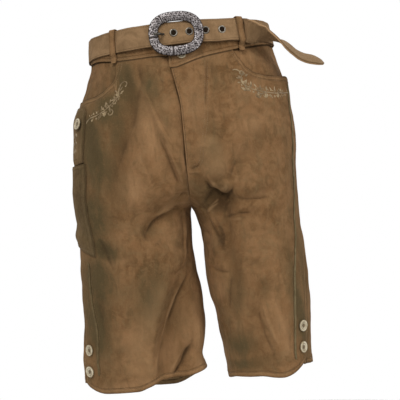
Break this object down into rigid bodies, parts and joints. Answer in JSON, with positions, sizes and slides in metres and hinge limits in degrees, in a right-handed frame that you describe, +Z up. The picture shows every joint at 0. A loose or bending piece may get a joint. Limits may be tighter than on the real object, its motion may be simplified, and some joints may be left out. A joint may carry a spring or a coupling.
{
  "type": "lederhosen",
  "caption": "Knee-length suede lederhosen, hollow as worn, with curved front pockets, a knife pocket on the right outseam and a belt with a cast buckle.",
  "frame": {"origin": "middle of the waist opening, level with the waistband's top edge", "axes": "+Z up, +X towards the wearer's left, the wearer faces -Y"},
  "size_m": [0.4963, 0.3006, 0.6782],
  "materials": {
    "suede": "brown suede with olive stains",
    "belt_suede": "tan suede strap",
    "piping": "olive-brown leather cord",
    "horn": "polished cream horn",
    "silver": "cast, antiqued silver",
    "nickel": "dulled nickel"
  },
  "bodies": {
    "root": {"front_right": "suede", "front_left": "suede", "back_right": "suede", "back_left": "suede", "pocket_facing_right": "suede", "pocket_facing_left": "suede", "waistband_right": "suede", "waistband_left": "suede", "knife_pocket": "suede", "knife_pocket_flap": "suede", "belt_loop_front_right": "suede", "belt_loop_front_left": "suede", "belt_loop_back_right": "suede", "belt_loop_back_left": "suede", "belt_loop_back": "suede", "piping_right": "piping", "piping_left": "piping", "belt": "belt_suede", "waist_button": "horn", "knife_pocket_button": "horn", "hem_button_right_1": "horn", "hem_button_right_2": "horn", "hem_button_left_1": "horn", "hem_button_left_2": "horn", "buckle_frame": "silver", "buckle_prong": "nickel", "eyelet_1": "nickel", "eyelet_2": "nickel", "eyelet_3": "nickel", "eyelet_4": "nickel"}
  },
  "joints": []
}
